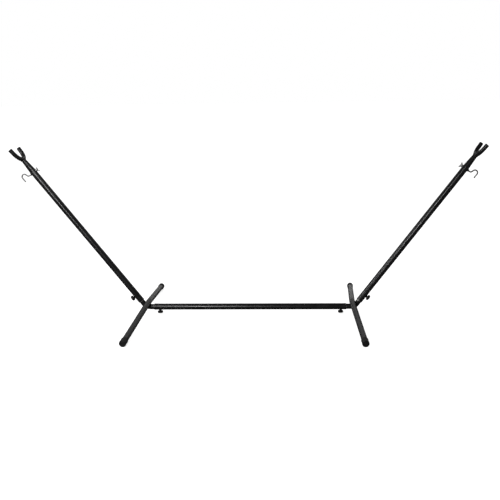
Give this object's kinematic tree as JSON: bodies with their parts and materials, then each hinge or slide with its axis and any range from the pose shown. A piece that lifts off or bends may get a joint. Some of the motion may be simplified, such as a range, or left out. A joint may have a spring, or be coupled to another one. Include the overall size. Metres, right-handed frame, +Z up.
{
  "type": "hammock stand",
  "caption": "Free-standing steel hammock stand with a horizontal base tube, two slanted arms, forked arm tops and hook bolts.",
  "frame": {"origin": "on the floor, under the middle of the base tube", "axes": "+X along the base tube, +Z up"},
  "size_m": [2.7184, 1.1122, 1.0202],
  "materials": {
    "black_powder_coat": "semi-gloss powder coat",
    "coated_weld": "semi-gloss powder coat over a weld bead",
    "black_plastic": "moulded, fine matt grain",
    "zinc_plate": "bright zinc plate"
  },
  "bodies": {
    "base": {"base_tube": "black_powder_coat", "left_base_nut": "black_powder_coat", "right_base_nut": "black_powder_coat"},
    "left_base_clamp": {"left_base_knob": "black_plastic", "left_base_screw": "zinc_plate"},
    "left_corner": {"left_elbow": "black_powder_coat", "left_leg": "black_powder_coat", "left_leg_weld": "coated_weld", "left_front_cap": "black_plastic", "left_back_cap": "black_plastic"},
    "left_arm": {"left_arm": "black_powder_coat", "left_arm_nut": "black_powder_coat", "left_fork": "black_powder_coat", "left_fork_weld": "coated_weld", "left_fork_plugs": "black_plastic", "left_hook_washers": "zinc_plate"},
    "left_arm_clamp": {"left_arm_knob": "black_plastic", "left_arm_screw": "zinc_plate"},
    "left_hook": {"left_hook": "zinc_plate", "left_hook_nut": "zinc_plate"},
    "left_wing_nut": {"left_wing_nut": "zinc_plate"},
    "right_base_clamp": {"right_base_knob": "black_plastic", "right_base_screw": "zinc_plate"},
    "right_corner": {"right_elbow": "black_powder_coat", "right_leg": "black_powder_coat", "right_leg_weld": "coated_weld", "right_front_cap": "black_plastic", "right_back_cap": "black_plastic"},
    "right_arm": {"right_arm": "black_powder_coat", "right_arm_nut": "black_powder_coat", "right_fork": "black_powder_coat", "right_fork_weld": "coated_weld", "right_fork_plugs": "black_plastic", "right_hook_washers": "zinc_plate"},
    "right_arm_clamp": {"right_arm_knob": "black_plastic", "right_arm_screw": "zinc_plate"},
    "right_hook": {"right_hook": "zinc_plate", "right_hook_nut": "zinc_plate"},
    "right_wing_nut": {"right_wing_nut": "zinc_plate"}
  },
  "joints": [
    {"name": "left_corner_slide", "type": "slide", "parent": "base", "child": "left_corner", "axis": [-1, 0, 0], "range_m": [0, 0.06]},
    {"name": "left_arm_slide", "type": "slide", "parent": "left_corner", "child": "left_arm", "axis": [-0.5948, 0, 0.8039], "range_m": [0, 0.06]},
    {"name": "left_base_knob_turn", "type": "hinge", "parent": "base", "child": "left_base_clamp", "pos_m": [-0.553, 0, 0.04979], "axis": [0, 0, -1], "range_deg": [0, 1080]},
    {"name": "left_arm_knob_turn", "type": "hinge", "parent": "left_arm", "child": "left_arm_clamp", "pos_m": [-0.69172, 0, 0.12374], "axis": [-0.8039, 0, -0.5948], "range_deg": [0, 1080]},
    {"name": "left_hook_swivel", "type": "hinge", "parent": "left_arm", "child": "left_hook", "pos_m": [-1.24967, 0, 0.87776], "axis": [-0.8039, 0, -0.5948], "continuous": true},
    {"name": "left_wing_nut_turn", "type": "hinge", "parent": "left_hook", "child": "left_wing_nut", "pos_m": [-1.24967, 0, 0.87776], "axis": [0.8039, 0, 0.5948], "range_deg": [0, 1080]},
    {"name": "right_corner_slide", "type": "slide", "parent": "base", "child": "right_corner", "axis": [1, 0, 0], "range_m": [0, 0.06]},
    {"name": "right_arm_slide", "type": "slide", "parent": "right_corner", "child": "right_arm", "axis": [0.5948, 0, 0.8039], "range_m": [0, 0.06]},
    {"name": "right_base_knob_turn", "type": "hinge", "parent": "base", "child": "right_base_clamp", "pos_m": [0.553, 0, 0.04979], "axis": [0, 0, -1], "range_deg": [0, 1080]},
    {"name": "right_arm_knob_turn", "type": "hinge", "parent": "right_arm", "child": "right_arm_clamp", "pos_m": [0.69172, 0, 0.12374], "axis": [0.8039, 0, -0.5948], "range_deg": [0, 1080]},
    {"name": "right_hook_swivel", "type": "hinge", "parent": "right_arm", "child": "right_hook", "pos_m": [1.24967, 0, 0.87776], "axis": [0.8039, 0, -0.5948], "continuous": true},
    {"name": "right_wing_nut_turn", "type": "hinge", "parent": "right_hook", "child": "right_wing_nut", "pos_m": [1.24967, 0, 0.87776], "axis": [-0.8039, 0, 0.5948], "range_deg": [0, 1080]}
  ]
}
